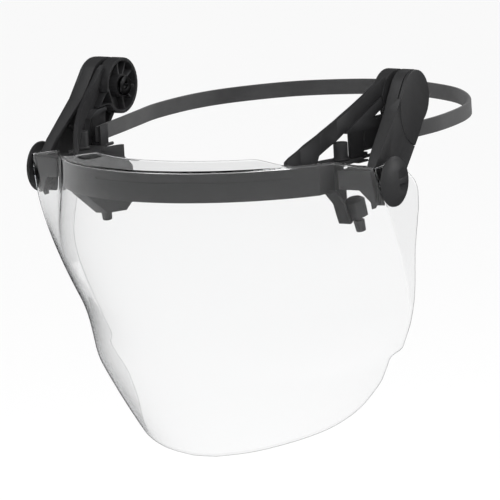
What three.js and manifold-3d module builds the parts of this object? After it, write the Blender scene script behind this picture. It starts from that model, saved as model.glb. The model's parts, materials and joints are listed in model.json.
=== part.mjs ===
// Face shield for a safety helmet: a fixed carrier (brow frame, two side brackets, rear strap)
// and a clear visor that swings up on two arms about the pivots at the wearer's temples.
// Millimetres, +Z up, -Y to the front, +X to the wearer's left.
// Origin: midpoint of the swing axis, which runs along X through both pivots.
import * as THREE from 'three';
import { mergeVertices } from 'three/addons/utils/BufferGeometryUtils.js';
import Module from 'manifold-3d';

const wasm = await Module();
wasm.setup();

// ---- driving dimensions ----
const GAP = 0.4; // clearance between separate pieces
const SHEET = 2; // thickness of the clear visor
const VISOR_TOP = -34; // height of the visor's brow rim
const VISOR_CHIN = -241.9; // lowest point, under the chin
const VISOR_FRONT = -144; // furthest point forward, at the brow
const CHIN_TUCK = 55.3; // how far the chin lies behind the brow
const CHEST_RADIUS = 174.5; // plan radius of the visor at the brow
const CHIN_RADIUS = 76.5; // plan radius of the visor at the chin
const BROW_RADIUS = 132; // plan radius of the rim between the two creases
const BROW_CENTRE_Y = -12.2;
const CREASE_X = 113.1; // where the brow curve turns outward into the cheek panel
const CHEEK_DROP = 4.7; // fall of the rim from crease to corner
const SHELF_DEPTH = 18; // clear shelf that runs back from the rim over the brow
const SHELF_RISE = 4;

const BAND_TOP = -35.5;
const BAND_HEIGHT = 20;
const BAND_THICK = 2.6;
const BAND_RADIUS = BROW_RADIUS - SHEET - 1.4;
const BAND_END_X = 105;
const DECK_THICK = 2.4;

const HEAD_RADIUS = 19.5; // round head of bracket and arm
const BRACKET_X = 108; // inner side of the bracket at its head
const BRACKET_DEPTH = 10;
const STRIP_THICK = 3;
const ARM_X = 121.4; // inner side of the arm at its head
const ARM_DEPTH = 11;
const ARM_TAPER = 0.07; // the arm grows thinner from within by this much per mm towards the knob
const ARM_TOE_OUT = 0.08; // the arm leans outward by this much per mm forward
const KNOB_Y = -53.5;
const KNOB_Z = -49.7;
const KNOB_RADIUS = 17.6;
const KNOB_THICK = 5.2;
const STUD_RADIUS = 4;
const PIN_RADIUS = 5;

const STRAP_HEIGHT = 11;
const STRAP_THICK = 2.5;
const STRAP_Z = -27.4; // middle of the strap where it passes the pivots
const STRAP_RISE = 0.0115; // the strap climbs by this much per mm towards the back

const POST_X = 106.6;
const POST_Y = -59.5;
const POST_TOP = -22.6;
const POST_RADIUS = 5;
const NUT_RADIUS = 7.5;
const NUT_FROM = 30.5; // span of the clamp nut along its leaning axis
const NUT_TO = 44;
const LEAN = new THREE.Vector3(3, 10.9, -54).normalize(); // axis of clamp nut and plug
const LEAN_START = new THREE.Vector3(101.6, -46.6, -34.5);

// ---- materials ----
function plastic(color, roughness = 0.55) {
  return new THREE.MeshStandardMaterial({ color, roughness, metalness: 0 });
}

const looks = {
  charcoal: () => plastic(0x3a3a3b),
  charcoalDark: () => plastic(0x2b2b2c, 0.6),
  rubber: () => plastic(0x3c3c3d, 0.8),
  clear: () => new THREE.MeshStandardMaterial({
    color: 0xf2f5f6, roughness: 0.05, metalness: 0, transparent: true, opacity: 0.3,
  }),
  steel: () => new THREE.MeshStandardMaterial({ color: 0x8c8e90, roughness: 0.35, metalness: 1 }),
};

// ---- solids ----
function signedVolume(geometry) {
  const position = geometry.getAttribute('position');
  const index = geometry.getIndex();
  const corners = [new THREE.Vector3(), new THREE.Vector3(), new THREE.Vector3()];
  let volume = 0;
  for (let i = 0; i < index.count; i += 3) {
    corners.forEach((corner, k) => corner.fromBufferAttribute(position, index.getX(i + k)));
    volume += corners[0].dot(corners[1].clone().cross(corners[2]));
  }
  return volume / 6;
}

function flipFaces(geometry) {
  const index = geometry.getIndex();
  for (let i = 0; i < index.count; i += 3) {
    const second = index.getX(i + 1);
    index.setX(i + 1, index.getX(i + 2));
    index.setX(i + 2, second);
  }
}

function solid(geometry) {
  geometry.deleteAttribute('normal');
  geometry.deleteAttribute('uv');
  const merged = mergeVertices(geometry, 1e-4);
  if (signedVolume(merged) < 0) {
    flipFaces(merged);
  }
  return new wasm.Manifold(new wasm.Mesh({
    numProp: 3,
    vertProperties: new Float32Array(merged.getAttribute('position').array),
    triVerts: new Uint32Array(merged.getIndex().array),
  }));
}

function join(solids) {
  return solids.reduce((whole, next) => whole.add(next));
}

function geometryOf(shape) {
  const mesh = shape.getMesh();
  const geometry = new THREE.BufferGeometry();
  geometry.setAttribute('position', new THREE.BufferAttribute(new Float32Array(mesh.vertProperties), 3));
  geometry.setIndex(new THREE.BufferAttribute(new Uint32Array(mesh.triVerts), 1));
  return geometry;
}

function prism(points, low, high) {
  const shape = new THREE.Shape(points.map(([a, b]) => new THREE.Vector2(a, b)));
  const geometry = new THREE.ExtrudeGeometry(shape, { depth: high - low, bevelEnabled: false });
  return geometry.translate(0, 0, low);
}

// outline in (x, y), height along z
function slab(points, low, high) {
  return solid(prism(points, low, high));
}

// outline in (y, z), thickness along x
function plate(points, low, high) {
  const turn = new THREE.Matrix4().makeBasis(
    new THREE.Vector3(0, 1, 0),
    new THREE.Vector3(0, 0, 1),
    new THREE.Vector3(1, 0, 0),
  );
  return solid(prism(points, low, high).applyMatrix4(turn));
}

function rod(from, to, radius, sides = 24, endRadius = radius) {
  const along = new THREE.Vector3().subVectors(to, from);
  const geometry = new THREE.CylinderGeometry(endRadius, radius, along.length(), sides);
  const turn = new THREE.Quaternion().setFromUnitVectors(
    new THREE.Vector3(0, 1, 0),
    along.clone().normalize(),
  );
  geometry.applyQuaternion(turn);
  geometry.translate((from.x + to.x) / 2, (from.y + to.y) / 2, (from.z + to.z) / 2);
  return solid(geometry);
}

function rodX(fromX, toX, y, z, radius, sides = 24) {
  return rod(new THREE.Vector3(fromX, y, z), new THREE.Vector3(toX, y, z), radius, sides);
}

function block(low, high) {
  const geometry = new THREE.BoxGeometry(high[0] - low[0], high[1] - low[1], high[2] - low[2]);
  geometry.translate((low[0] + high[0]) / 2, (low[1] + high[1]) / 2, (low[2] + high[2]) / 2);
  return solid(geometry);
}

function arcPoints(centreA, centreB, radius, fromDeg, toDeg, steps) {
  return Array.from({ length: steps + 1 }, (_, i) => {
    const angle = THREE.MathUtils.degToRad(fromDeg + (toDeg - fromDeg) * i / steps);
    return [centreA + radius * Math.cos(angle), centreB + radius * Math.sin(angle)];
  });
}

function splinePoints(points, steps) {
  const curve = new THREE.SplineCurve(points.map(([a, b]) => new THREE.Vector2(a, b)));
  return curve.getPoints(steps).map((p) => [p.x, p.y]);
}

// Leans a flat piece sideways in straight stretches: x moves by shift(y), cut at each of the stations.
// The stretches overlap a little, and the slivers where they meet are cleaned away.
function bend(flat, stations, shift) {
  const reach = 400;
  const overlap = 0.2;
  const sliver = 0.02;
  const pieces = [];
  for (let i = 0; i < stations.length - 1; i += 1) {
    const [far, near] = [stations[i], stations[i + 1]];
    const piece = flat.intersect(block([-reach, far - overlap, -reach], [reach, near + overlap, reach]));
    if (piece.isEmpty()) {
      continue;
    }
    const slope = (shift(near) - shift(far)) / (near - far);
    const offset = shift(far) - slope * far;
    const lean = new THREE.Matrix4().set(1, slope, 0, offset, 0, 1, 0, 0, 0, 0, 1, 0, 0, 0, 0, 1);
    pieces.push(solid(geometryOf(piece).applyMatrix4(lean)));
  }
  return join(pieces).simplify(sliver);
}

// Closed sheet between two grids of points, outer(i, j) and inner(i, j).
function sheet(rows, cols, outer, inner) {
  const positions = [];
  const index = [];
  const across = cols + 1;
  const layer = (rows + 1) * across;
  for (const grid of [outer, inner]) {
    for (let i = 0; i <= rows; i += 1) {
      for (let j = 0; j <= cols; j += 1) {
        positions.push(...grid(i, j).toArray());
      }
    }
  }
  const quad = (a, b, c, d) => index.push(a, b, c, a, c, d);
  for (let i = 0; i < rows; i += 1) {
    for (let j = 0; j < cols; j += 1) {
      const a = i * across + j;
      quad(a, a + 1, a + across + 1, a + across);
      quad(layer + a, layer + a + across, layer + a + across + 1, layer + a + 1);
    }
  }
  for (let j = 0; j < cols; j += 1) {
    const last = rows * across + j;
    quad(j + 1, j, layer + j, layer + j + 1);
    quad(last, last + 1, layer + last + 1, layer + last);
  }
  for (let i = 0; i < rows; i += 1) {
    const first = i * across;
    const last = first + cols;
    quad(first, first + across, layer + first + across, layer + first);
    quad(last + across, last, layer + last, layer + last + across);
  }
  const geometry = new THREE.BufferGeometry();
  geometry.setAttribute('position', new THREE.Float32BufferAttribute(positions, 3));
  geometry.setIndex(index);
  return solid(geometry);
}

// ---- visor ----
function fall(z) {
  return Math.max((VISOR_TOP - z) / (VISOR_TOP - VISOR_CHIN), 0);
}

function frontY(z) {
  return VISOR_FRONT + CHIN_TUCK * fall(z) ** 2.1;
}

function planRadius(z) {
  return CHEST_RADIUS - (CHEST_RADIUS - CHIN_RADIUS) * fall(z) ** 1.6;
}

// half-angle of the front panel at height z, up to the corner fold
function foldAngle(z) {
  const degrees = 53.5 + 26.5 * fall(z) + 27 * fall(z) ** 2;
  return THREE.MathUtils.degToRad(Math.min(degrees, 82.5));
}

function foldPoint(z) {
  const radius = planRadius(z);
  const angle = foldAngle(z);
  return new THREE.Vector2(radius * Math.sin(angle), frontY(z) + radius * (1 - Math.cos(angle)));
}

// forward position of the front panel at sideways distance x and height z
function panelY(x, z) {
  const fold = foldPoint(z);
  const front = frontY(z);
  const radius = planRadius(z);
  const across = Math.min(Math.abs(x), fold.x);
  const round = front + radius - Math.sqrt(Math.max(radius ** 2 - across ** 2, 0));
  const flat = front + (fold.y - front) * (across / fold.x) ** 2;
  const flatness = 0.85 * THREE.MathUtils.smoothstep(z, -185, -140);
  const smooth = THREE.MathUtils.lerp(round, flat, flatness);
  const forward = front - VISOR_FRONT;
  const creaseY = BROW_CENTRE_Y - Math.sqrt(BROW_RADIUS ** 2 - CREASE_X ** 2) + forward;
  const brow = across < CREASE_X
    ? BROW_CENTRE_Y - Math.sqrt(BROW_RADIUS ** 2 - across ** 2) + forward
    : THREE.MathUtils.lerp(creaseY, fold.y, (across - CREASE_X) / (fold.x - CREASE_X));
  const pinch = THREE.MathUtils.smoothstep(z, -120, -45);
  return THREE.MathUtils.lerp(smooth, brow, pinch);
}

function panelPoint(s, z) {
  const fold = foldPoint(z);
  const side = Math.sign(s);
  const share = Math.abs(s);
  const creaseShare = 0.76;
  const straight = share < creaseShare
    ? CREASE_X * share / creaseShare
    : THREE.MathUtils.lerp(CREASE_X, fold.x, (share - creaseShare) / (1 - creaseShare));
  const swept = planRadius(z) * Math.sin(share * foldAngle(z));
  const x = THREE.MathUtils.lerp(swept, straight, THREE.MathUtils.smoothstep(z, -180, -100));
  return new THREE.Vector3(side * x, panelY(x, z), z);
}

function panelNormal(s, z) {
  const step = 0.004;
  const inside = THREE.MathUtils.clamp(s, -1 + step, 1 - step);
  const sideways = panelPoint(inside + step, z).sub(panelPoint(inside - step, z));
  const down = panelPoint(inside, z - 1).sub(panelPoint(inside, z + 1));
  return down.cross(sideways).normalize();
}

// sheet that follows the front panel, from one distance outside it to another inside it
function frontPanel(outside, inside) {
  const half = 17;
  const rows = 16;
  const below = 4;
  const place = (i, j) => {
    const s = (j - half) / half;
    const x = Math.abs(panelPoint(s, VISOR_TOP).x);
    const top = VISOR_TOP - CHEEK_DROP * Math.max(x - CREASE_X, 0) / (foldPoint(VISOR_TOP).x - CREASE_X);
    return [s, THREE.MathUtils.lerp(top, VISOR_CHIN - below, i / rows)];
  };
  const shifted = (i, j, distance) => {
    const [s, z] = place(i, j);
    const step = panelNormal(s, z).multiplyScalar(distance);
    step.z = i === 0 ? 0 : step.z;
    return panelPoint(s, z).add(step);
  };
  return sheet(rows, 2 * half, (i, j) => shifted(i, j, outside), (i, j) => shifted(i, j, -inside));
}

const SIDE_TOE_IN = 0.06; // the side panels close in towards the rear by this much per mm

function sidePanel(side) {
  const rows = 14;
  const rear = -8;
  const low = -178;
  const top = VISOR_TOP - CHEEK_DROP;
  const place = (i, j, inset) => {
    const z = THREE.MathUtils.lerp(top, low, i / rows);
    const fold = foldPoint(z);
    const y = j === 0 ? fold.y : rear;
    return new THREE.Vector3(side * (fold.x - inset - SIDE_TOE_IN * (y - fold.y)), y, z);
  };
  return sheet(rows, 1, (i, j) => place(i, j, 0), (i, j) => place(i, j, SHEET));
}

function browShelf() {
  const steps = 26;
  const reach = THREE.MathUtils.degToRad(48);
  const thick = 1.6;
  const place = (i, j, lift) => {
    const angle = reach * (i / steps * 2 - 1);
    const share = 1 - THREE.MathUtils.smoothstep(Math.abs(angle), reach * 0.72, reach);
    const depth = SHELF_DEPTH * share + SHEET * 0.8;
    const radius = BROW_RADIUS - SHEET * 0.6 - depth * j;
    const x = radius * Math.sin(angle);
    const y = BROW_CENTRE_Y - radius * Math.cos(angle);
    return new THREE.Vector3(x, y, VISOR_TOP + SHELF_RISE * share * j - lift);
  };
  return sheet(steps, 1, (i, j) => place(i, j, 0), (i, j) => place(i, j, thick));
}

// side view of the whole visor: rear edges of the side wings, notch, jaw line and chin
function visorProfile() {
  const wing = splinePoints(
    [[-42, -33], [-31.5, -44], [-19.5, -55], [-18.4, -68], [-26.8, -103], [-21.3, -141], [-17.5, -172]],
    24,
  );
  const notch = [[-18.5, -175], [-24.5, -176], [-26.3, -179]];
  const jaw = splinePoints(
    [[-24.2, -194], [-26.1, -202], [-33.5, -215], [-49, -225.6], [-73.8, -235], [-89, -242]],
    20,
  );
  return [[-160, -25], [-42, -25], ...wing, ...notch, ...jaw, [-92, -243], [-160, -243]];
}

function visorLens() {
  const panels = join([frontPanel(0, SHEET), sidePanel(1), sidePanel(-1), browShelf()]);
  const trimmed = panels.intersect(plate(visorProfile(), -200, 200));
  const holes = rodX(-160, 160, KNOB_Y, KNOB_Z, STUD_RADIUS + GAP);
  return trimmed.subtract(holes);
}

// ---- arms, their caps and what holds the visor on them ----
const KNOB_REACH = Math.hypot(KNOB_Y, KNOB_Z);
const FORWARD = [KNOB_Y / KNOB_REACH, KNOB_Z / KNOB_REACH];

// point at a distance along the arm from the pivot and across it, positive to the front edge
function onArm(along, across) {
  return [
    FORWARD[0] * along + FORWARD[1] * across,
    FORWARD[1] * along - FORWARD[0] * across,
  ];
}

function armLean(y) {
  return -ARM_TOE_OUT * y;
}

function lean(flat) {
  const toeOut = new THREE.Matrix4().set(1, -ARM_TOE_OUT, 0, 0, 0, 1, 0, 0, 0, 0, 1, 0, 0, 0, 0, 1);
  return solid(geometryOf(flat).applyMatrix4(toeOut));
}

function armOutline(inset) {
  const heading = THREE.MathUtils.radToDeg(Math.atan2(FORWARD[1], FORWARD[0]));
  const head = arcPoints(0, 0, HEAD_RADIUS - inset, heading - 75, heading - 285, 22);
  const rear = [[20, -20.5], [46, -21.3]].map(([along, across]) => onArm(along, across + inset));
  const end = arcPoints(KNOB_Y, KNOB_Z, KNOB_RADIUS - 1 - inset, heading + 80, heading - 70, 14);
  const front = [[62, 17.2], [52, 16.8], [25, 15.8]].map(([along, across]) => onArm(along, across - inset));
  return [...head, ...rear, ...end, ...front];
}

const CAP_CENTRE = [3, -7];
const CAP_RADIUS = 27;
const CAP_THICK = 2.2;
const HOUSING_REAR = [[-65, 0], [-65, -38], [-61, -64], [-58, -80]]; // where housing and arm meet
const TAPER_START = 15;

// inner side of the arm at a distance along it, before the toe-out
function armInnerX(along) {
  return ARM_X + ARM_TAPER * Math.max(along - TAPER_START, 0);
}

function armTaper() {
  const far = 110;
  const cut = [[ARM_X - 2, TAPER_START], [ARM_X, TAPER_START], [armInnerX(far), far], [ARM_X - 2, far]];
  const wedge = slab(cut, -50, 50);
  const heading = new THREE.Matrix4().makeRotationX(Math.atan2(FORWARD[1], FORWARD[0]));
  return solid(geometryOf(wedge).applyMatrix4(heading));
}

function armBody() {
  const wall = 2.6;
  const outer = ARM_X + ARM_DEPTH;
  const shell = plate(armOutline(0), ARM_X, outer);
  const hollow = plate(armOutline(wall), ARM_X - 1, outer - CAP_THICK - wall);
  const hub = rodX(ARM_X, outer - CAP_THICK - 1, 0, 0, PIN_RADIUS + 4);
  const seat = rodX(ARM_X + 0.5, outer - 1, KNOB_Y, KNOB_Z, STUD_RADIUS + 4.5);
  const ribs = [[14, 26], [34, 46]].map(([near, far]) => {
    const corners = [onArm(near, -12), onArm(near + 2, -12), onArm(far, 11), onArm(far - 2, 11)];
    return plate(corners, ARM_X + 3, outer - CAP_THICK - 1);
  });
  const recess = rodX(outer - CAP_THICK - GAP, outer + 1, ...CAP_CENTRE, CAP_RADIUS + GAP, 36);
  const bore = rodX(ARM_X - 1, outer + 1, 0, 0, PIN_RADIUS + GAP);
  const studBore = rodX(ARM_X - 1, outer + 1, KNOB_Y, KNOB_Z, STUD_RADIUS + GAP);
  const headSeat = rodX(ARM_X - 1, armInnerX(KNOB_REACH) + 2.2, KNOB_Y, KNOB_Z, STUD_RADIUS + 2);
  const whole = join([shell.subtract(hollow), hub, seat, ...ribs]);
  const ahead = plate([[-120, 0], ...HOUSING_REAR, [-120, -80]], 0, 200);
  return lean(whole.subtract(join([recess, bore, studBore, headSeat, ahead, armTaper()])));
}

function armCap() {
  const outer = ARM_X + ARM_DEPTH;
  const disc = rodX(outer - CAP_THICK, outer + 0.4, ...CAP_CENTRE, CAP_RADIUS, 36);
  return lean(disc.intersect(plate(armOutline(0.2), outer - 5, outer + 5)));
}

function knobStud() {
  const seat = armInnerX(KNOB_REACH) + armLean(KNOB_Y) + 1.2;
  const shank = rodX(seat, knobBase() + 2, KNOB_Y, KNOB_Z, STUD_RADIUS, 24);
  const head = rodX(seat - 2.5, seat, KNOB_Y, KNOB_Z, STUD_RADIUS + 1, 6);
  return join([shank, head]);
}

// outer face of the visor's side panel beside the knob, at height z
function sidePanelX(z) {
  const fold = foldPoint(z);
  return fold.x - SIDE_TOE_IN * (KNOB_Y - fold.y);
}

function knobWasher() {
  const arm = ARM_X + ARM_DEPTH + armLean(KNOB_Y - STUD_RADIUS);
  const lens = sidePanelX(KNOB_Z + STUD_RADIUS + 3) - SHEET - GAP;
  const ring = rodX(arm + GAP, lens, KNOB_Y, KNOB_Z, STUD_RADIUS + 3);
  return ring.subtract(rodX(arm, lens + 1, KNOB_Y, KNOB_Z, STUD_RADIUS + GAP));
}

// inner face of the knob, clear of the flare of the visor below it
function knobBase() {
  return foldPoint(KNOB_Z - KNOB_RADIUS * 0.6).x + GAP;
}

// wedge cut into the rear half of the knob beside its grip bar
function gripScoop(side) {
  const base = knobBase();
  const rim = 20;
  const barHalf = 1.7;
  const deep = base + 1.3;
  const shallow = base + KNOB_THICK + 0.8;
  const at = (x, y, z) => new THREE.Vector3(x, KNOB_Y + y, KNOB_Z + side * z);
  const corners = (x) => [at(x, 0.5, barHalf), at(x, rim, barHalf + 0.6), at(x, rim, 17), at(x, 2, 15)];
  const low = corners(0);
  [base + 4, deep, base + 4, shallow].forEach((x, i) => low[i].setX(x));
  const top = corners(base + KNOB_THICK + 4);
  return solidFromCorners([...low, ...top]);
}

// body between four lower and four upper corners, both in the same order
function solidFromCorners(points) {
  const geometry = new THREE.BufferGeometry().setFromPoints(points);
  const faces = [[0, 1, 2], [0, 2, 3], [4, 6, 5], [4, 7, 6]];
  for (let i = 0; i < 4; i += 1) {
    const next = (i + 1) % 4;
    faces.push([i, i + 4, next], [next, i + 4, next + 4]);
  }
  geometry.setIndex(faces.flat());
  return solid(geometry);
}

function knob() {
  const base = knobBase();
  const profile = [[0, 0], [KNOB_RADIUS - 1, 0], [KNOB_RADIUS, 0.7], [KNOB_RADIUS - 0.3, 1.8],
    [KNOB_RADIUS - 3.4, 3.7], [8.5, 4.9], [0, KNOB_THICK]];
  const lathe = new THREE.LatheGeometry(profile.map(([r, h]) => new THREE.Vector2(r, h)), 36);
  lathe.rotateZ(-Math.PI / 2);
  lathe.translate(base, KNOB_Y, KNOB_Z);
  const socket = rodX(base - 1, base + 2.6, KNOB_Y, KNOB_Z, STUD_RADIUS + GAP, 24);
  return solid(lathe).subtract(join([gripScoop(1), gripScoop(-1), socket]));
}

const HOUSING_SILL = -52.5; // lower edge of the cheek housing above the clamp nut

function cheekHousing() {
  const inner = CREASE_X + 1.6;
  const outer = sidePanelX(KNOB_Z + KNOB_RADIUS) - SHEET - GAP;
  const low = KNOB_Z - KNOB_RADIUS;
  const high = VISOR_TOP - CHEEK_DROP - 0.6;
  const depth = 9;
  const side = [[inner, -84], [outer, -84], [outer, -60], [inner + depth, -60], [inner + depth, -54],
    [inner + 2, -54], [inner, -58]];
  const view = [[inner - 1, high], [inner - 1, HOUSING_SILL], [inner + 13, HOUSING_SILL - 1], [inner + 19, low + 5],
    [outer - 3, low], [outer, low + 4], [outer, high]];
  const front = new THREE.ExtrudeGeometry(
    new THREE.Shape(view.map(([a, b]) => new THREE.Vector2(a, b))),
    { depth: 60, bevelEnabled: false },
  );
  front.rotateX(Math.PI / 2);
  front.translate(0, -30, 0);
  const behindVisor = slab(side, low, high).intersect(solid(front)).subtract(frontPanel(20, SHEET + GAP));
  const line = HOUSING_REAR.map(([y, z]) => [y - GAP, z]);
  return behindVisor.subtract(plate([...line, [0, -80], [0, 0]], inner + depth, 200));
}

// ---- fixed carrier ----
function bandOutline(radius, endX) {
  const end = THREE.MathUtils.radToDeg(Math.asin(endX / radius));
  return arcPoints(0, BROW_CENTRE_Y, radius, -90 - end, -90 + end, 44);
}

// plan line of the side wall behind the end of the band
function sideWallX(y) {
  return y < -67 ? BAND_END_X : BAND_END_X - 0.4 * (y + 67);
}

function sideWall() {
  const low = BAND_TOP - BAND_HEIGHT;
  const outline = [[-86.2, BAND_TOP], [-86.2, low], [-77, low], [-67, -65], [-49.2, -81.6], [-34, -81.6],
    [-27, -74], [-27, -52], [-33, -44], [-33, BAND_TOP]];
  return bend(plate(outline, -BAND_THICK, 0), [-90, -67, -20], sideWallX);
}

// outward lip along the sloping front edge and the ledge under the clamp nut
function pocketLip() {
  const thick = 2.4;
  const slope = [[-77, -55.5], [-67, -65], [-49.2, -81.6], [-34, -81.6]];
  const inner = slope.map(([y, z]) => [y + thick * 0.7, z + thick * 0.8]).reverse();
  const lip = plate([...slope, ...inner], -1, 7);
  return bend(lip, [-90, -67, -20], sideWallX);
}

function deck() {
  const front = arcPoints(0, BROW_CENTRE_Y, BAND_RADIUS - 1, -90 + 41, -90 + 54, 6);
  const outline = [...front, [104, -67], [101, -42], [98, -42], [91, -64]];
  const plateau = slab(outline, BAND_TOP - DECK_THICK, BAND_TOP);
  const shelf = [[96, -66], [113.4, -66], [113.4, -42], [99, -42]];
  const tongue = slab(shelf, BAND_TOP - DECK_THICK, BAND_TOP);
  return join([plateau, tongue]);
}

function browFrame() {
  const outer = bandOutline(BAND_RADIUS, BAND_END_X);
  const inner = bandOutline(BAND_RADIUS - BAND_THICK, BAND_END_X - 1.2);
  const band = slab([...outer, ...inner.reverse()], BAND_TOP - BAND_HEIGHT, BAND_TOP);
  const grooveArc = (radius) => arcPoints(0, BROW_CENTRE_Y, radius, -90 - 22, -90 + 46, 20);
  const groove = slab(
    [...grooveArc(BAND_RADIUS + 1), ...grooveArc(BAND_RADIUS - 0.5).reverse()],
    BAND_TOP - 6.4,
    BAND_TOP - 5.4,
  );
  const ends = join([sideWall(), pocketLip(), deck()]);
  const far = mirrored(ends);
  const drill = leanRod(NUT_TO, 60, 4.6, 24);
  return join([band, ends, far]).subtract(join([groove, drill, mirrored(drill)]));
}

function mirrored(shape) {
  const geometry = geometryOf(shape).scale(-1, 1, 1);
  flipFaces(geometry);
  return solid(geometry);
}

// the bracket runs straight at its head and then curves in towards the brow frame
function bracketX(y) {
  return y < -HEAD_RADIUS ? BRACKET_X + 0.085 * y + 2.2e-5 * y ** 3 : BRACKET_X;
}

// side view of the front strip: its front edge, its foot on the brow frame, and its rear edge
const STRIP_FRONT = [[-14, 13], [-14.7, 16.5], [-29.8, 9], [-44.7, 1.5], [-59.3, -5.9], [-73, -13.5],
  [-85.8, -21.2], [-95.3, -28.5]];
const STRIP_FOOT = [[-98, -31.4], [-98, -35.1], [-79, -35.1], [-77, -29.5]];
const STRIP_REAR = [[-71.7, -26.2], [-64.6, -22.2], [-53, -15], [-39, -6.7], [-27, 0.5], [-17, 5]];
const WINDOW = [[-15.5, -1.5], [-30, -10], [-12, -10.4]]; // three-cornered opening behind the strip

// the window's outline grown outward from its middle
function windowRim(grow) {
  const middle = [-19, -7.4];
  return WINDOW.map((corner) => corner.map((value, k) => middle[k] + (value - middle[k]) * (1 + grow)));
}

function bracket() {
  const web = BRACKET_DEPTH - 2.4;
  const stripOuter = BRACKET_DEPTH - 1;
  const strip = plate([...STRIP_FRONT, ...STRIP_FOOT, ...STRIP_REAR], stripOuter - STRIP_THICK, stripOuter);
  const gusset = plate([[-21, 3], [-36, -5], [-51, -13.8], [-55, -17.6], [-17, -17.6]], web, BRACKET_DEPTH);
  const rib = plate([[-36, -11.6], [-18, -12.2], [-18, -14.6], [-50, -15.6]], 3.4, BRACKET_DEPTH - 0.7);
  const panel = plate([[-38, -16], [-13, -14.5], [-15, -30], [-38, -30]], web, BRACKET_DEPTH - 0.4);
  const column = plate([[-52, -16.5], [-40, -16.5], [-40, -35.1], [-52, -35.1]], web, BRACKET_DEPTH - 0.2);
  const cup = rodX(1, BRACKET_DEPTH, 0, 0, HEAD_RADIUS, 36);
  const hollow = rodX(0, web, 0, 0, HEAD_RADIUS - 2.2, 36);
  const hub = rodX(1, BRACKET_DEPTH, 0, 0, PIN_RADIUS + 3);
  const spokes = [-75, -38, -8, 28, 62, 98].map((degrees) => {
    const angle = THREE.MathUtils.degToRad(degrees);
    const [c, s] = [Math.cos(angle), Math.sin(angle)];
    const outline = [[6, -0.7], [18.4, -0.7], [18.4, 0.7], [6, 0.7]];
    const turned = outline.map(([r, w]) => [r * c - w * s, r * s + w * c]);
    return plate(turned, 3, BRACKET_DEPTH);
  });
  const opening = plate(windowRim(0), -1, BRACKET_DEPTH + 2);
  const clearing = plate(windowRim(0.45), -1, web);
  const frame = plate(windowRim(0.22), 2.6, BRACKET_DEPTH - 1.1).subtract(opening);
  const bore = rodX(-1, BRACKET_DEPTH + 1, 0, 0, PIN_RADIUS + GAP);
  const head = join([gusset, cup.subtract(hollow), ...spokes]).subtract(clearing);
  const flat = join([head, strip, rib, panel, column, hub, frame]).subtract(join([opening, bore]));
  return bend(flat, [-110, -90, -76, -62, -46, -HEAD_RADIUS, 40], bracketX);
}

function pivotPin() {
  return rodX(BRACKET_X + 1 + GAP, ARM_X + ARM_DEPTH - CAP_THICK - GAP - 0.4, 0, 0, PIN_RADIUS);
}

function pivotWasher() {
  const low = BRACKET_X + BRACKET_DEPTH + GAP;
  const ring = rodX(low, ARM_X - 2 * GAP - armLean(-PIN_RADIUS - 4), 0, 0, PIN_RADIUS + 4);
  return ring.subtract(rodX(low - 1, ARM_X + 1, 0, 0, PIN_RADIUS + GAP));
}

function pivotScrew() {
  const seat = BRACKET_X + 1 - GAP;
  const head = rodX(seat - 2.6, seat, 0, 0, PIN_RADIUS + 2);
  return head.subtract(rodX(seat - 4, seat - 1, 0, 0, 2.6, 6));
}

function post() {
  const low = new THREE.Vector3(POST_X, POST_Y, BAND_TOP + GAP);
  const high = new THREE.Vector3(POST_X, POST_Y, POST_TOP);
  const collarTop = new THREE.Vector3(POST_X, POST_Y, BAND_TOP + GAP + 1.6);
  return join([rod(low, high, POST_RADIUS), rod(low, collarTop, POST_RADIUS + 0.9)]);
}

// clamp nut, plug and their drilling share one leaning axis
function leanRod(from, to, radius, sides, endRadius = radius) {
  return rod(
    LEAN_START.clone().addScaledVector(LEAN, from),
    LEAN_START.clone().addScaledVector(LEAN, to),
    radius,
    sides,
    endRadius,
  );
}

function clampNut() {
  const body = leanRod(NUT_FROM + 2, NUT_TO, NUT_RADIUS, 10);
  const dome = leanRod(NUT_FROM, NUT_FROM + 2, NUT_RADIUS - 2.5, 10, NUT_RADIUS);
  return join([body, dome]).subtract(leanRod(NUT_FROM + 4, NUT_TO + 1, 3.3, 20));
}

function plug() {
  const shank = leanRod(NUT_FROM + 5, NUT_TO + 6, 2.8, 18);
  const end = leanRod(NUT_TO + 3, NUT_TO + 11, 4, 16, 3.4);
  return join([shank, end]);
}

// ---- rear strap and its anchors ----
const STRAP_PATH = [[105.6, -41], [107.9, -24], [110.6, 0], [113.8, 24], [116.9, 55], [111.6, 94], [96.5, 125],
  [66.6, 156], [28, 173.5], [0, 176.2]];

function rearStrap() {
  const whole = [...STRAP_PATH, ...STRAP_PATH.slice(0, -1).reverse().map(([x, y]) => [-x, y])];
  const curve = new THREE.SplineCurve(whole.map(([x, y]) => new THREE.Vector2(x, y)));
  const steps = 72;
  const edge = (side) => Array.from({ length: steps + 1 }, (_, i) => {
    const point = curve.getPoint(i / steps);
    const ahead = curve.getTangent(i / steps);
    return [point.x - side * ahead.y * STRAP_THICK / 2, point.y + side * ahead.x * STRAP_THICK / 2];
  });
  const half = STRAP_HEIGHT / 2;
  const level = slab([...edge(1), ...edge(-1).reverse()], STRAP_Z - half, STRAP_Z + half);
  const climb = new THREE.Matrix4().set(1, 0, 0, 0, 0, 1, 0, 0, 0, STRAP_RISE, 1, 0, 0, 0, 0, 1);
  return solid(geometryOf(level).applyMatrix4(climb));
}

const PEG_Z = -37.4;
const PEG_RADIUS = 1.2;

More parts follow.
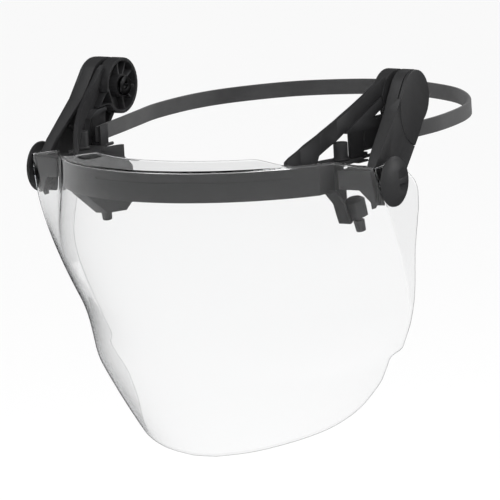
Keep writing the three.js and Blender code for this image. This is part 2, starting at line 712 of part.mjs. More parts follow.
function strapAnchor() {
  const middle = STRAP_Z + STRAP_RISE * -41;
  const bottom = middle - STRAP_HEIGHT / 2 - GAP;
  const top = middle + STRAP_HEIGHT / 2 + GAP;
  const ledge = slab([[102.2, -41.5], [108.2, -41.5], [109.6, -30], [103.4, -30]], bottom - 2, bottom);
  const keeper = slab([[102.2, -41.5], [103.6, -41.5], [104.8, -30], [103.4, -30]], bottom - 2, top);
  const lip = [[102.6, -39.4], [108.4, -39.4], [109.4, -29], [103.6, -29]];
  const lowerPlate = slab(lip, PEG_Z - 3.2, PEG_Z - 1.7);
  const spine = block([103, -39.4, PEG_Z - 2], [105, -34, bottom - 1]);
  return join([ledge, keeper, spine, lowerPlate]);
}

function strapPeg() {
  const from = new THREE.Vector3(107, -37.4, PEG_Z);
  const to = new THREE.Vector3(107, -19.4, PEG_Z);
  return rod(from, to, PEG_RADIUS, 16);
}

// ---- assembly ----
const shield = new THREE.Group();

function addMesh(name, shape, material, side = 1) {
  const geometry = geometryOf(side > 0 ? shape : mirrored(shape));
  geometry.computeVertexNormals();
  const mesh = new THREE.Mesh(geometry, material());
  mesh.name = name;
  shield.add(mesh);
}

function addPair(name, build, material) {
  const shape = build();
  addMesh(`left_${name}`, shape, material, 1);
  addMesh(`right_${name}`, shape, material, -1);
}

addMesh('brow_frame', browFrame(), looks.charcoal);
addPair('bracket', bracket, looks.charcoalDark);
addPair('post', post, looks.charcoal);
addPair('pivot_pin', pivotPin, looks.steel);
addPair('pivot_washer', pivotWasher, looks.charcoalDark);
addPair('pivot_screw', pivotScrew, looks.steel);
addPair('clamp_nut', clampNut, looks.charcoal);
addPair('plug', plug, looks.charcoalDark);
addPair('strap_anchor', strapAnchor, looks.charcoalDark);
addPair('strap_peg', strapPeg, looks.charcoal);
addMesh('rear_strap', rearStrap(), looks.rubber);
addMesh('visor_lens', visorLens(), looks.clear);
addPair('arm', armBody, looks.charcoal);
addPair('arm_cap', armCap, looks.charcoal);
addPair('cheek_housing', cheekHousing, looks.charcoal);
addPair('knob_stud', knobStud, looks.steel);
addPair('knob_washer', knobWasher, looks.charcoalDark);
addPair('knob', knob, looks.charcoal);

export default shield;
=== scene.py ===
"""Looks of the face shield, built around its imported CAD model. Metres, +Z up, -Y to the front."""
import json
import math

import bmesh
import bpy
import numpy as np
from mathutils import Matrix, Vector

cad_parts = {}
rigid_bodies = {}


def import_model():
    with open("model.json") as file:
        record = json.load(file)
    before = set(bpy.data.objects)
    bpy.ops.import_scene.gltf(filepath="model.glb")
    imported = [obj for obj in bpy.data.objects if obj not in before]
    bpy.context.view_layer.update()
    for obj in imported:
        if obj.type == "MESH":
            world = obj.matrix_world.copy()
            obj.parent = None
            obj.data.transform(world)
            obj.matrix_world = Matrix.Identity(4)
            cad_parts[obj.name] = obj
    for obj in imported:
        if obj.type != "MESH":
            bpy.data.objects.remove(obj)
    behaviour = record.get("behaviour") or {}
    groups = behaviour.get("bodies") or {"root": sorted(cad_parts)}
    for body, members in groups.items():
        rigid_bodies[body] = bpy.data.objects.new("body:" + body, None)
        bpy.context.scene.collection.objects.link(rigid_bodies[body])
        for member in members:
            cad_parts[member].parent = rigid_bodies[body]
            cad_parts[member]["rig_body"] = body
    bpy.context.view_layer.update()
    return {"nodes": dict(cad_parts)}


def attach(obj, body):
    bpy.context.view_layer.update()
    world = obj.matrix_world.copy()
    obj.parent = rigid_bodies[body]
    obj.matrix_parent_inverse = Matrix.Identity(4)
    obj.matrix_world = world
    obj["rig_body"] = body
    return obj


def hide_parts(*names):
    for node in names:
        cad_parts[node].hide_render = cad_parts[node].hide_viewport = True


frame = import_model()

MM = 0.001
NODES = frame["nodes"]
SIDES = {"left": 1, "right": -1}

# Long lens from the front left of the wearer: degrees, radians of roll, metres
CAMERA_AZIMUTH, CAMERA_ELEVATION, CAMERA_ROLL = 33, 9.1, -0.056
CAMERA_TARGET = (0.0018, -0.0196, -0.1087)
CAMERA_DISTANCE, VIEW_WIDTH, SENSOR_WIDTH = 15.0, 0.3467, 36

# Softboxes: name, place, target, size, watts
LIGHTS = (
    ("key", (1.6, -1.5, 1.7), (0, 0, -0.1), (1.2, 1.2), 17),
    ("fill", (-1.2, -1.3, 2.2), (0, 0, -0.1), (1.2, 1.2), 8),
    ("side", (1.9, 1.5, 0.5), (0.1, 0, 0), (1.2, 1.0), 9),
    ("rim", (0.4, 2.0, 1.4), (0, 0, -0.05), (1.6, 0.8), 11),
)
FLOOR_SIZE, FLOOR_HEIGHT, FLOOR_WHITE = 14, -0.75, 0.93
SKY_LOW, SKY_HIGH, SKY_STRENGTH = 0.9, 1.0, 1.02

# Visor form, the same curves as the CAD solid (mm)
SHEET = 2.0
VISOR_TOP, VISOR_CHIN, VISOR_FRONT = -34.0, -241.9, -144.0
CHIN_TUCK = 55.3
CHEST_RADIUS, CHIN_RADIUS = 174.5, 76.5
BROW_RADIUS, BROW_CENTRE_Y = 132.0, -12.2
CREASE_X, CHEEK_DROP = 113.1, 4.7
SHELF_DEPTH, SHELF_RISE = 18.0, 4.0
SIDE_TOE_IN = 0.06
RIM_RISE, RIM_DEPTH = 1.3, 1.6
SHELF_FADE = (34, 47)
EDGE_BULGE = 0.55

# How its plan changes from brow (fall 0) to chin (fall 1)
TUCK_POWER, NARROW_POWER = 2.1, 1.6
FOLD_ANGLE, FOLD_OPENING, FOLD_LIMIT = 53.5, (26.5, 27), 82.5
CHEST_FLATNESS = 0.85
CHEST_BLEND, BROW_BLEND = (-185, -140), (-120, -45)
BEND_SOFTNESS = 1.6

# Sheet grid: columns from the middle to the rear edge, rows from the brow to the chin
GRID_COLUMNS, GRID_ROWS = 150, 150
COLUMN_PACKING, CORNER_PULL = 0.10, 0.12
SAMPLE_STEP, SAMPLE_REACH = 0.5, 330
CHEEK_WIDTH = 27

# Hole in each side wing for the knob's stud (mm)
KNOB_Y, KNOB_Z, STUD_HOLE, WING_X, DRILL_LENGTH = -53.5, -49.7, 4.4, 142, 30

# Strap section and its slight climb towards the back (mm)
STRAP_MIDDLE, STRAP_RISE = -27.4, 0.0115
STRAP_HALF_TALL, STRAP_HALF_THICK, STRAP_CORNER = 5.4, 1.25, 0.8
STRAP_STATIONS = 361

# Degrees between facets: below the first they are one flat face, from the second an edge is
# rounded over, and from the third it stays crisp in the shading
FLAT_WITHIN, BEVEL_FROM, SHARP_FROM = 0.8, 32, 38

# Strap path in plan, from the left anchor to the middle of the back (mm)
STRAP_PATH = [(105.6, -41), (107.9, -24), (110.6, 0), (113.8, 24), (116.9, 55), (111.6, 94),
              (96.5, 125), (66.6, 156), (28, 173.5), (0, 176.2)]


# ---------------------------------------------------------------- stage
def camera():
    azimuth, elevation = math.radians(CAMERA_AZIMUTH), math.radians(CAMERA_ELEVATION)
    level = math.cos(elevation)
    back = Vector((math.sin(azimuth) * level, -math.cos(azimuth) * level, math.sin(elevation)))
    right = Vector((math.cos(azimuth), math.sin(azimuth), 0))
    up = back.cross(right)
    right_rolled = right * math.cos(CAMERA_ROLL) + up * math.sin(CAMERA_ROLL)
    up_rolled = up * math.cos(CAMERA_ROLL) - right * math.sin(CAMERA_ROLL)
    data = bpy.data.cameras.new("camera")
    data.sensor_width = SENSOR_WIDTH
    data.lens = data.sensor_width * CAMERA_DISTANCE / VIEW_WIDTH
    data.clip_end = 50
    cam = bpy.data.objects.new("camera", data)
    bpy.context.scene.collection.objects.link(cam)
    place = Matrix((right_rolled, up_rolled, back)).transposed().to_4x4()
    place.translation = Vector(CAMERA_TARGET) + back * CAMERA_DISTANCE
    cam.matrix_world = place
    bpy.context.scene.camera = cam


def area_light(name, place, target, size, power):
    data = bpy.data.lights.new(name, "AREA")
    data.shape = "RECTANGLE"
    data.size, data.size_y = size
    data.energy = power
    light = bpy.data.objects.new(name, data)
    bpy.context.scene.collection.objects.link(light)
    light.location = place
    light.rotation_euler = (Vector(target) - Vector(place)).to_track_quat("-Z", "Y").to_euler()


def sky():
    """Pale surroundings, a touch darker below the horizon, that light the object unmirrored."""
    world = bpy.data.worlds.new("studio")
    bpy.context.scene.world = world
    world.use_nodes = True
    tree = world.node_tree
    tree.nodes.clear()
    coords = tree.nodes.new("ShaderNodeTexCoord")
    split = tree.nodes.new("ShaderNodeSeparateXYZ")
    tree.links.new(coords.outputs["Generated"], split.inputs[0])
    ramp = tree.nodes.new("ShaderNodeValToRGB")
    stops = ramp.color_ramp.elements
    stops[0].position, stops[0].color = 0.0, (SKY_LOW, SKY_LOW, SKY_LOW, 1)
    stops[1].position, stops[1].color = 1.0, (SKY_HIGH, SKY_HIGH, SKY_HIGH, 1)
    half = tree.nodes.new("ShaderNodeMath")
    half.operation = "MULTIPLY_ADD"
    half.inputs[1].default_value = 0.5
    half.inputs[2].default_value = 0.5
    tree.links.new(split.outputs["Z"], half.inputs[0])
    tree.links.new(half.outputs[0], ramp.inputs[0])
    glow = tree.nodes.new("ShaderNodeBackground")
    glow.inputs["Strength"].default_value = SKY_STRENGTH
    tree.links.new(ramp.outputs[0], glow.inputs["Color"])
    out = tree.nodes.new("ShaderNodeOutputWorld")
    tree.links.new(glow.outputs[0], out.inputs[0])
    world.cycles_visibility.glossy = False


def studio():
    sky()
    bpy.ops.mesh.primitive_plane_add(size=FLOOR_SIZE, location=(0, 0, FLOOR_HEIGHT))
    floor = bpy.context.object
    floor.name = "floor"
    paint = bpy.data.materials.new("floor_white")
    paint.use_nodes = True
    shader = paint.node_tree.nodes["Principled BSDF"]
    shader.inputs["Base Color"].default_value = (FLOOR_WHITE, FLOOR_WHITE, FLOOR_WHITE, 1)
    shader.inputs["Roughness"].default_value = 0.9
    shader.inputs["Specular IOR Level"].default_value = 0
    floor.data.materials.append(paint)
    floor.visible_glossy = False

    for light in LIGHTS:
        area_light(*light)
    bpy.context.scene.view_settings.view_transform = "Standard"


# ---------------------------------------------------------------- materials
class Nodes:
    """Small helper over a material's node tree."""

    def __init__(self, name):
        self.material = bpy.data.materials.new(name)
        self.material.use_nodes = True
        self.tree = self.material.node_tree
        self.shader = self.tree.nodes["Principled BSDF"]
        self.output = self.tree.nodes["Material Output"]
        coords = self.tree.nodes.new("ShaderNodeTexCoord")
        self.coords = coords.outputs["Object"]

    def add(self, kind, **inputs):
        node = self.tree.nodes.new(kind)
        for key, value in inputs.items():
            node.inputs[key.replace("_", " ")].default_value = value
        return node

    def link(self, source, target):
        self.tree.links.new(source, target)

    def noise(self, scale, detail=3, roughness=0.5):
        node = self.add("ShaderNodeTexNoise", Scale=scale, Detail=detail, Roughness=roughness)
        self.link(self.coords, node.inputs["Vector"])
        return node.outputs["Fac"]

    def ramp(self, source, low, high, start=0.3, stop=0.7):
        node = self.tree.nodes.new("ShaderNodeMapRange")
        node.inputs["From Min"].default_value = start
        node.inputs["From Max"].default_value = stop
        node.inputs["To Min"].default_value = low
        node.inputs["To Max"].default_value = high
        self.link(source, node.inputs["Value"])
        return node.outputs["Result"]

    def mix(self, factor, first, second):
        node = self.tree.nodes.new("ShaderNodeMix")
        node.data_type = "RGBA"
        node.inputs["A"].default_value = (*first, 1) if len(first) == 3 else first
        node.inputs["B"].default_value = (*second, 1) if len(second) == 3 else second
        self.link(factor, node.inputs["Factor"])
        return node.outputs["Result"]

    def bump(self, source, strength, distance, before=None):
        node = self.add("ShaderNodeBump", Strength=strength, Distance=distance)
        self.link(source, node.inputs["Height"])
        if before is not None:
            self.link(before, node.inputs["Normal"])
        return node.outputs["Normal"]


def moulded_plastic(name, dark, light, roughness, grain=0.35):
    """Spark-eroded nylon: fine grain, slow drift of tone, and a painted highlight that makes its
    edges lighter.
    """
    n = Nodes(name)
    drift = n.noise(14, 4)
    tone = n.mix(n.ramp(drift, 0, 1), dark, light)
    # painted highlight: convex edges (high pointiness) get a lighter colour that stands in for
    # light catching them
    geometry = n.tree.nodes.new("ShaderNodeNewGeometry")
    edge = n.ramp(geometry.outputs["Pointiness"], 0, 0.55, 0.52, 0.62)
    painted_edge_highlight = n.tree.nodes.new("ShaderNodeMix")
    painted_edge_highlight.data_type = "RGBA"
    n.link(edge, painted_edge_highlight.inputs["Factor"])
    n.link(tone, painted_edge_highlight.inputs["A"])
    painted_edge_highlight.inputs["B"].default_value = (*[c * 2.1 for c in light], 1)
    n.link(painted_edge_highlight.outputs["Result"], n.shader.inputs["Base Color"])
    n.link(n.ramp(n.noise(60, 5), roughness - 0.06, roughness + 0.08), n.shader.inputs["Roughness"])
    n.shader.inputs["Specular IOR Level"].default_value = 0.42
    broad = n.bump(n.noise(220, 2), 0.12, 0.0004)
    n.link(n.bump(n.noise(2600, 2), grain, 0.00012, broad), n.shader.inputs["Normal"])
    return n.material


def strap_rubber(name):
    """Matt silicone with a dusty bloom and faint moulding waves."""
    n = Nodes(name)
    tone = n.mix(n.ramp(n.noise(30, 5), 0, 1), (0.030, 0.030, 0.031), (0.044, 0.044, 0.045))
    n.link(tone, n.shader.inputs["Base Color"])
    n.link(n.ramp(n.noise(90, 4), 0.62, 0.78), n.shader.inputs["Roughness"])
    n.shader.inputs["Specular IOR Level"].default_value = 0.35
    n.shader.inputs["Sheen Weight"].default_value = 0.15
    n.shader.inputs["Sheen Roughness"].default_value = 0.6
    waves = n.bump(n.noise(70, 2), 0.1, 0.0006)
    n.link(n.bump(n.noise(3200, 2), 0.25, 0.0001, waves), n.shader.inputs["Normal"])
    return n.material


def clear_polycarbonate(name):
    """Polished sheet: clear on the face, tinted where light runs a long way inside it, and with
    grey shade painted into its colour where it is seen at a grazing angle.
    """
    n = Nodes(name)
    # painted shade: the base colour turns grey as the surface turns edge-on to the view
    weight = n.add("ShaderNodeLayerWeight", Blend=0.5)
    painted_grazing_shade = n.ramp(weight.outputs["Facing"], 0, 1, 0.86, 0.985)
    n.link(n.mix(painted_grazing_shade, (1, 1, 1), (0.24, 0.26, 0.27)), n.shader.inputs["Base Color"])
    n.shader.inputs["Transmission Weight"].default_value = 1
    n.shader.inputs["IOR"].default_value = 1.5
    n.link(n.ramp(n.noise(35, 4), 0.0, 0.012), n.shader.inputs["Roughness"])
    n.link(n.bump(n.noise(18, 2), 0.03, 0.001), n.shader.inputs["Normal"])
    absorb = n.add("ShaderNodeVolumeAbsorption", Color=(0.80, 0.83, 0.85, 1), Density=30)
    n.link(absorb.outputs[0], n.output.inputs["Volume"])
    return n.material


def sheet_edge(name):
    """Cut edge of the sheet: a little rough, with dark grey shade painted into its colour for the
    dark line that light piped along the plastic shows there.
    """
    n = Nodes(name)
    # painted shade: this grey colour stands in for the dark lines seen along the sheet's edges
    tone = n.mix(n.ramp(n.noise(60, 4), 0, 1), (0.10, 0.11, 0.115), (0.22, 0.23, 0.24))
    n.link(tone, n.shader.inputs["Base Color"])
    n.shader.inputs["Transmission Weight"].default_value = 0.8
    n.shader.inputs["IOR"].default_value = 1.5
    n.link(n.ramp(n.noise(300, 4), 0.12, 0.3), n.shader.inputs["Roughness"])
    n.link(n.bump(n.noise(900, 2), 0.15, 0.0001), n.shader.inputs["Normal"])
    return n.material


def machined_steel(name, dark, light):
    n = Nodes(name)
    tone = n.mix(n.ramp(n.noise(160, 5), 0, 1), dark, light)
    n.link(tone, n.shader.inputs["Base Color"])
    n.shader.inputs["Metallic"].default_value = 1
    n.link(n.ramp(n.noise(400, 4), 0.28, 0.45), n.shader.inputs["Roughness"])
    n.link(n.bump(n.noise(1500, 2), 0.2, 0.0001), n.shader.inputs["Normal"])
    return n.material


# ---------------------------------------------------------------- mesh helpers
def new_object(name, mesh, material, body, replaces=()):
    piece = bpy.data.objects.new(name, mesh)
    bpy.context.scene.collection.objects.link(piece)
    mesh.materials.clear()
    mesh.materials.append(material)
    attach(piece, body)
    if replaces:
        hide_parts(*replaces)
    return piece


def apply_modifiers(piece):
    bpy.context.view_layer.update()
    graph = bpy.context.evaluated_depsgraph_get()
    mesh = bpy.data.meshes.new_from_object(piece.evaluated_get(graph))
    piece.modifiers.clear()
    piece.data = mesh


def smooth(mesh, degrees=40):
    for polygon in mesh.polygons:
        polygon.use_smooth = True
    mesh.set_sharp_from_angle(angle=math.radians(degrees))


def refined(node, material, slot, bevel, segments):
    """A copy of the node's solid with its moulded edges rounded."""
    source = NODES[node]
    mesh = source.data.copy()
    work = bmesh.new()
    work.from_mesh(mesh)
    bmesh.ops.remove_doubles(work, verts=work.verts, dist=1e-6)
    flat = math.radians(FLAT_WITHIN)
    bmesh.ops.dissolve_limit(work, angle_limit=flat, verts=work.verts, edges=work.edges)
    work.to_mesh(mesh)
    work.free()
    piece = new_object(node + "_moulded", mesh, material, source["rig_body"], [node])
    rounding = piece.modifiers.new("rounding", "BEVEL")
    rounding.width = bevel * MM
    rounding.segments = segments
    rounding.limit_method = "ANGLE"
    rounding.angle_limit = math.radians(BEVEL_FROM)
    rounding.harden_normals = False
    rounding.use_clamp_overlap = True
    apply_modifiers(piece)
    smooth(piece.data, SHARP_FROM)
    return piece


def tube_from_grid(name, grid):
    """Mesh over a rows x cols x 3 array of points in mm, closed across its columns."""
    rows, cols = grid.shape[:2]
    mesh = bpy.data.meshes.new(name)
    index = np.arange(rows * cols).reshape(rows, cols)
    here, ahead = index[:-1], index[1:]
    a, b = here, np.roll(here, -1, 1)
    c, d = np.roll(ahead, -1, 1), ahead
    faces = np.stack([a, b, c, d], -1).reshape(-1, 4)
    mesh.from_pydata((grid.reshape(-1, 3) * MM).tolist(), [], faces.tolist())
    mesh.validate()
    return mesh


def smoothstep(x, low, high):
    t = np.clip((np.asarray(x, float) - low) / (high - low), 0, 1)
    return t * t * (3 - 2 * t)


def spline(points, count):
    """Catmull-Rom curve through the points, as count samples with even parameter steps."""
    pts = np.array(points, float)
    padded = np.vstack([2 * pts[0] - pts[1], pts, 2 * pts[-1] - pts[-2]])
    t = np.linspace(0, len(pts) - 1, count)
    i = np.minimum(t.astype(int), len(pts) - 2)
    f = (t - i)[:, None]
    p0, p1, p2, p3 = (padded[i + k] for k in range(4))
    return 0.5 * (2 * p1 + (p2 - p0) * f + (2 * p0 - 5 * p1 + 4 * p2 - p3) * f ** 2
                  + (3 * p1 - p0 - 3 * p2 + p3) * f ** 3)


# ---------------------------------------------------------------- visor
def fall(z):
    return np.maximum((VISOR_TOP - z) / (VISOR_TOP - VISOR_CHIN), 0)


def visor_row(z):
    """Plan outline of the visor's outer face at height z: centre, brow, cheek, fold, side wing."""
    d = float(fall(z))
    front = VISOR_FRONT + CHIN_TUCK * d ** TUCK_POWER
    radius = CHEST_RADIUS - (CHEST_RADIUS - CHIN_RADIUS) * d ** NARROW_POWER
    opening = FOLD_OPENING[0] * d + FOLD_OPENING[1] * d * d
    angle = math.radians(min(FOLD_ANGLE + opening, FOLD_LIMIT))
    fold_x, fold_y = radius * math.sin(angle), front + radius * (1 - math.cos(angle))
    x = fold_x * np.sin(np.linspace(0, math.pi / 2, 500))
    round_y = front + radius - np.sqrt(np.maximum(radius ** 2 - x ** 2, 0))
    flat_y = front + (fold_y - front) * (x / fold_x) ** 2
    y = round_y + (flat_y - round_y) * CHEST_FLATNESS * float(smoothstep(z, *CHEST_BLEND))
    forward = front - VISOR_FRONT
    crease_y = BROW_CENTRE_Y - math.sqrt(BROW_RADIUS ** 2 - CREASE_X ** 2) + forward
    within = np.minimum(x, CREASE_X)
    brow = BROW_CENTRE_Y - np.sqrt(np.maximum(BROW_RADIUS ** 2 - within ** 2, 0)) + forward
    cheek = crease_y + (fold_y - crease_y) * (x - CREASE_X) / max(fold_x - CREASE_X, 1)
    y += (np.where(x < CREASE_X, brow, cheek) - y) * float(smoothstep(z, *BROW_BLEND))
    side_y = np.linspace(fold_y, 0, 160)[1:]
    side_x = fold_x - SIDE_TOE_IN * (side_y - fold_y)
    return np.column_stack([np.concatenate([x, side_x]), np.concatenate([y, side_y])])


def arc_lengths(path):
    return np.concatenate([[0], np.cumsum(np.linalg.norm(np.diff(path, axis=0), axis=1))])


def softened(path, reach):
    """The path resampled each half millimetre, its bends rounded over about that reach."""
    length = arc_lengths(path)
    even = np.arange(0, length[-1], 0.5)
    pts = np.column_stack([np.interp(even, length, path[:, k]) for k in range(2)])
    mirror = pts[1:61][::-1] * [-1, 1]
    tail = 2 * pts[-1] - pts[-61:-1][::-1]
    padded = np.vstack([mirror, pts, tail])
    span = np.arange(-60, 61) * 0.5
    kernel = np.exp(-0.5 * (span / reach) ** 2)
    kernel /= kernel.sum()
    return even, np.column_stack([np.convolve(padded[:, k], kernel, "valid") for k in range(2)])


# Side view (y, z) of the sheet's rear edge: side wing, the step below it, and the jaw line (mm)
WING_EDGE = [(-42, -33), (-31.5, -44), (-19.5, -55), (-18.4, -68), (-26.8, -103), (-21.3, -141),
             (-17.5, -172)]
NOTCH = [(-18.5, -175), (-24.5, -176), (-26.3, -179)]
JAW = [(-24.2, -194), (-26.1, -202), (-33.5, -215), (-49, -225.6), (-73.8, -235), (-89, -242)]
CORNER_Z = -208.0


def rear_y(z):
    """Side-view position of the visor's rear edge at height z."""
    line = np.vstack([spline(WING_EDGE, 80), NOTCH, spline(JAW, 80)])
    return float(np.interp(-z, -line[:, 1], line[:, 0]))


def visor_surface():
    """Outer face as a grid of points and unit normals over one half, centre to rear edge."""
    levels = np.arange(VISOR_TOP, VISOR_CHIN - 1.5, -1.0)
    rows, ends = [], []
    samples = np.arange(0, SAMPLE_REACH, SAMPLE_STEP)
    for z in levels:
        even, pts = softened(visor_row(z), BEND_SOFTNESS)
        table = np.column_stack([np.interp(samples, even, pts[:, k]) for k in range(2)])
        rows.append(table)
        edge = rear_y(max(z, VISOR_CHIN))
        beyond = np.argmax(table[:, 1] > edge)
        ends.append(samples[max(beyond, 1)])
    table = np.array(rows)
    heights = np.broadcast_to(levels[:, None, None], table.shape[:2] + (1,))
    points = np.concatenate([table, heights], -1)
    across = np.gradient(points, axis=1)
    down = np.gradient(points, axis=0)
    normal = np.cross(down, across)
    normal /= np.maximum(np.linalg.norm(normal, axis=2, keepdims=True), 1e-9)
    # averaged over a few rows, so that the step in the wing's edge doesn't fold the grid
    taps = np.array([1, 2, 3, 2, 1]) / 9
    ends = np.convolve(np.pad(ends, 2, mode="edge"), taps, "valid")
    return levels, points, normal, ends


def sample_grid(table, i, j):
    i0 = np.clip(i.astype(int), 0, table.shape[0] - 2)
    j0 = np.clip(j.astype(int), 0, table.shape[1] - 2)
    fi, fj = (i - i0)[..., None], (j - j0)[..., None]
    top = table[i0, j0] * (1 - fj) + table[i0, j0 + 1] * fj
    low = table[i0 + 1, j0] * (1 - fj) + table[i0 + 1, j0 + 1] * fj
    return top * (1 - fi) + low * fi


def corner_pull(z):
    """Share of the sheet's reach kept below the rear corner."""
    return 1 - CORNER_PULL * (CORNER_Z - z) / (CORNER_Z - VISOR_CHIN)


def visor_lens():
    """Outer face of one half trimmed to its outline, as a grid of points and normals."""
    levels, points, normals, ends = visor_surface()
    share = np.linspace(0, 1, GRID_COLUMNS + 1)
    share = share + COLUMN_PACKING * np.sin(math.pi * 2 * share) / (2 * math.pi)
    # bottom edge: the jaw line seen along each column
    jaw_z = np.linspace(CORNER_Z, VISOR_CHIN + 0.05, 400)
    full = np.interp(-jaw_z, -levels, ends)
    reach = ends[np.searchsorted(-levels, -CORNER_Z)]
    virtual = reach * corner_pull(jaw_z)
    jaw_share = np.clip(full / virtual, 0, 1)
    jaw_share[0] = 1
    jaw_share = np.minimum.accumulate(jaw_share)
    bottom = np.interp(share, jaw_share[::-1], jaw_z[::-1])
    v = np.linspace(0, 1, GRID_ROWS + 1)
    top_x = sample_grid(points, np.zeros(len(share)), share * ends[2] / SAMPLE_STEP)[:, 0]
    top = VISOR_TOP - 0.2 - CHEEK_DROP * np.clip((top_x - CREASE_X) / CHEEK_WIDTH, 0, 1)
    z = top[None, :] + (bottom - top)[None, :] * v[:, None]
    end = np.interp(-z, -levels, ends)
    end = np.where(z < CORNER_Z, reach * corner_pull(z), end)
    row, column = VISOR_TOP - z, share[None, :] * end / SAMPLE_STEP
    outer = sample_grid(points, row, column)
    normal = sample_grid(normals, row, column)
    normal /= np.linalg.norm(normal, axis=2, keepdims=True)
    return outer, normal


def strip_between(first, second):
    """Faces between two closed rings of vertex numbers."""
    return np.column_stack([np.roll(first, -1), np.roll(second, -1), second, first]).tolist()


def visor_mesh(material, edge_material):
    outer, normal = visor_lens()
    # rolled rim and brow shelf above the first row
    x = outer[0, :, 0]
    angle = np.degrees(np.arctan2(x, -(outer[0, :, 1] - BROW_CENTRE_Y)))
    share = 1 - smoothstep(angle, *SHELF_FADE)
    depth = RIM_DEPTH + SHELF_DEPTH * share
    inward = -normal[0] * [1, 1, 0]
    inward /= np.linalg.norm(inward, axis=1, keepdims=True)
    shelf_rows, shelf_normals = [], []
    for step in np.linspace(1, 0, 14):
        run = RIM_RISE + (depth - RIM_RISE) * step
        lift = SHELF_RISE * share * step + RIM_RISE
        shelf_rows.append(outer[0] + inward * run[:, None] + np.array([0, 0, 1]) * lift[:, None])
        shelf_normals.append(np.broadcast_to([0, 0, 1.0], outer[0].shape))
    for turn in np.radians([67.5, 45, 22.5]):
        upward = np.array([0, 0, 1]) * (RIM_RISE * math.sin(turn))
        offset = inward * (RIM_RISE * (1 - math.cos(turn))) + upward
        shelf_rows.append(outer[0] + offset)
        shelf_normals.append(-inward * math.cos(turn) + np.array([0, 0, 1]) * math.sin(turn))
    outer = np.concatenate([np.array(shelf_rows), outer])
    normal = np.concatenate([np.array(shelf_normals), normal])
    normal /= np.linalg.norm(normal, axis=2, keepdims=True)
    # both halves as one grid
    flip = np.array([-1, 1, 1])
    outer = np.concatenate([outer[:, :0:-1] * flip, outer], 1)
    normal = np.concatenate([normal[:, :0:-1] * flip, normal], 1)
    inner = outer - normal * SHEET
    # rounded edge strip all the way round
    rows, cols = outer.shape[:2]
    ring = [(r, 0) for r in range(rows)] + [(rows - 1, c) for c in range(1, cols)]
    ring += [(r, cols - 1) for r in range(rows - 2, -1, -1)]
    ring += [(0, c) for c in range(cols - 2, 0, -1)]
    vertices = [*outer.reshape(-1, 3), *inner.reshape(-1, 3)]
    faces = []
    layer = rows * cols
    for r in range(rows - 1):
        a = r * cols + np.arange(cols - 1)
        faces += np.column_stack([a, a + cols, a + cols + 1, a + 1]).tolist()
        b = a + layer
        faces += np.column_stack([b, b + 1, b + cols + 1, b + cols]).tolist()
    ids = np.array([r * cols + c for r, c in ring])
    outer_ring = np.array([outer[r, c] for r, c in ring])
    inner_ring = np.array([inner[r, c] for r, c in ring])
    normal_ring = np.array([normal[r, c] for r, c in ring])
    tangent = np.roll(outer_ring, -1, 0) - np.roll(outer_ring, 1, 0)
    out = np.cross(normal_ring, tangent)
    out /= np.maximum(np.linalg.norm(out, axis=1, keepdims=True), 1e-9)
    sheet_faces = len(faces)
    previous = ids
    for t in (0.12, 0.35, 0.65, 0.88):
        bulge = EDGE_BULGE * math.sin(math.pi * t) ** 0.7
        start = len(vertices)
        vertices += list(outer_ring + (inner_ring - outer_ring) * t - out * bulge)
        current = start + np.arange(len(ring))
        faces += strip_between(previous, current)
        previous = current
    faces += strip_between(previous, ids + layer)
    mesh = bpy.data.meshes.new("visor_clear")
    mesh.from_pydata((np.array(vertices) * MM).tolist(), [], faces)
    for polygon in mesh.polygons[sheet_faces:]:
        polygon.material_index = 1
    work = bmesh.new()
    work.from_mesh(mesh)
    bmesh.ops.remove_doubles(work, verts=work.verts, dist=2e-6)
    bmesh.ops.recalc_face_normals(work, faces=work.faces)
    work.to_mesh(mesh)
    work.free()
    smooth(mesh, 50)
    piece = new_object("visor_clear", mesh, material, "visor", ["visor_lens"])
    piece.data.materials.append(edge_material)
    for side in SIDES.values():
        drill_stud_hole(piece, side)
    return piece


def drill_stud_hole(piece, side):
    bpy.ops.mesh.primitive_cylinder_add(
        vertices=40, radius=STUD_HOLE * MM, depth=DRILL_LENGTH * MM,
        location=(side * WING_X * MM, KNOB_Y * MM, KNOB_Z * MM), rotation=(0, math.pi / 2, 0))
    drill = bpy.context.object
    cut = piece.modifiers.new("stud_hole", "BOOLEAN")
    cut.object = drill
    cut.operation = "DIFFERENCE"
    cut.solver = "EXACT"
    apply_modifiers(piece)
    bpy.data.objects.remove(drill)


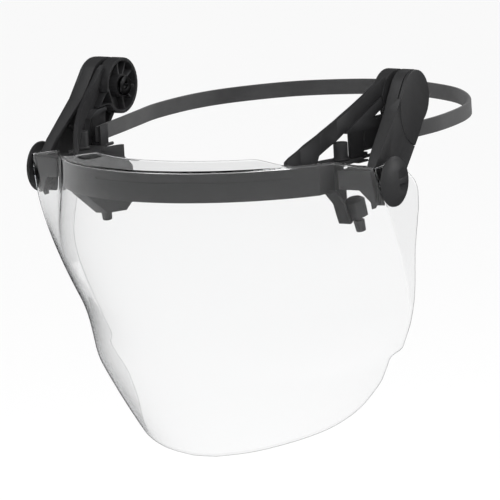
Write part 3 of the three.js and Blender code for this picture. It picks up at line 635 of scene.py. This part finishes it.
# ---------------------------------------------------------------- strap
def rear_strap(material):
    half = np.array(STRAP_PATH, float)
    whole = np.vstack([half, (half[:-1] * [-1, 1])[::-1]])
    path = spline(whole, STRAP_STATIONS)
    tangent = np.gradient(path, axis=0)
    tangent /= np.linalg.norm(tangent, axis=1, keepdims=True)
    normal = np.column_stack([-tangent[:, 1], tangent[:, 0]])
    across, up = STRAP_HALF_THICK - STRAP_CORNER, STRAP_HALF_TALL - STRAP_CORNER
    outline = []
    for cx, cz, start in ((1, 1, 0), (-1, 1, 90), (-1, -1, 180), (1, -1, 270)):
        for step in range(5):
            a = math.radians(start + step * 22.5)
            outline.append((cx * across + STRAP_CORNER * math.cos(a),
                            cz * up + STRAP_CORNER * math.sin(a)))
    outline = np.array(outline)
    grid = np.zeros((len(path), len(outline), 3))
    grid[:, :, :2] = path[:, None, :] + normal[:, None, :] * outline[None, :, :1]
    grid[:, :, 2] = STRAP_MIDDLE + STRAP_RISE * grid[:, :, 1] + outline[None, :, 1]
    mesh = tube_from_grid("strap_band", grid)
    work = bmesh.new()
    work.from_mesh(mesh)
    bmesh.ops.holes_fill(work, edges=[e for e in work.edges if e.is_boundary])
    bmesh.ops.recalc_face_normals(work, faces=work.faces)
    work.to_mesh(mesh)
    work.free()
    smooth(mesh, 40)
    return new_object("strap_band", mesh, material, "carrier", ["rear_strap"])


# ---------------------------------------------------------------- assembly
camera()
studio()
satin = moulded_plastic("satin_nylon", (0.022, 0.022, 0.023), (0.031, 0.031, 0.032), 0.42)
matt = moulded_plastic("matt_nylon", (0.017, 0.017, 0.018), (0.024, 0.024, 0.025), 0.52)
rubber = strap_rubber("silicone_strap")
clear = clear_polycarbonate("clear_polycarbonate")
steel = machined_steel("zinc_steel", (0.34, 0.34, 0.35), (0.48, 0.48, 0.49))
black_steel = machined_steel("black_steel", (0.035, 0.035, 0.036), (0.06, 0.06, 0.062))

edge = sheet_edge("polycarbonate_edge")

visor_mesh(clear, edge)
rear_strap(rubber)
refined("brow_frame", satin, "charcoal", 0.6, 3)
# node of each side: material, its slot in the record, bevel in mm, bevel steps
PAIRS = (
    ("bracket", matt, "charcoal_dark", 0.45, 3),
    ("arm", satin, "charcoal", 1.0, 3),
    ("arm_cap", satin, "charcoal", 0.5, 3),
    ("cheek_housing", satin, "charcoal", 1.6, 3),
    ("knob", satin, "charcoal", 0.7, 3),
    ("knob_washer", matt, "charcoal_dark", 0.1, 1),
    ("knob_stud", steel, "steel", 0.3, 2),
    ("post", satin, "charcoal", 0.4, 3),
    ("clamp_nut", satin, "charcoal", 0.7, 3),
    ("plug", matt, "charcoal_dark", 0.4, 3),
    ("strap_anchor", matt, "charcoal_dark", 0.3, 3),
    ("strap_peg", satin, "charcoal", 0.4, 3),
    ("pivot_pin", steel, "steel", 0.4, 2),
    ("pivot_washer", matt, "charcoal_dark", 0.15, 1),
    ("pivot_screw", black_steel, "steel", 0.5, 2),
)
for side in SIDES:
    for node, *look in PAIRS:
        refined(side + "_" + node, *look)
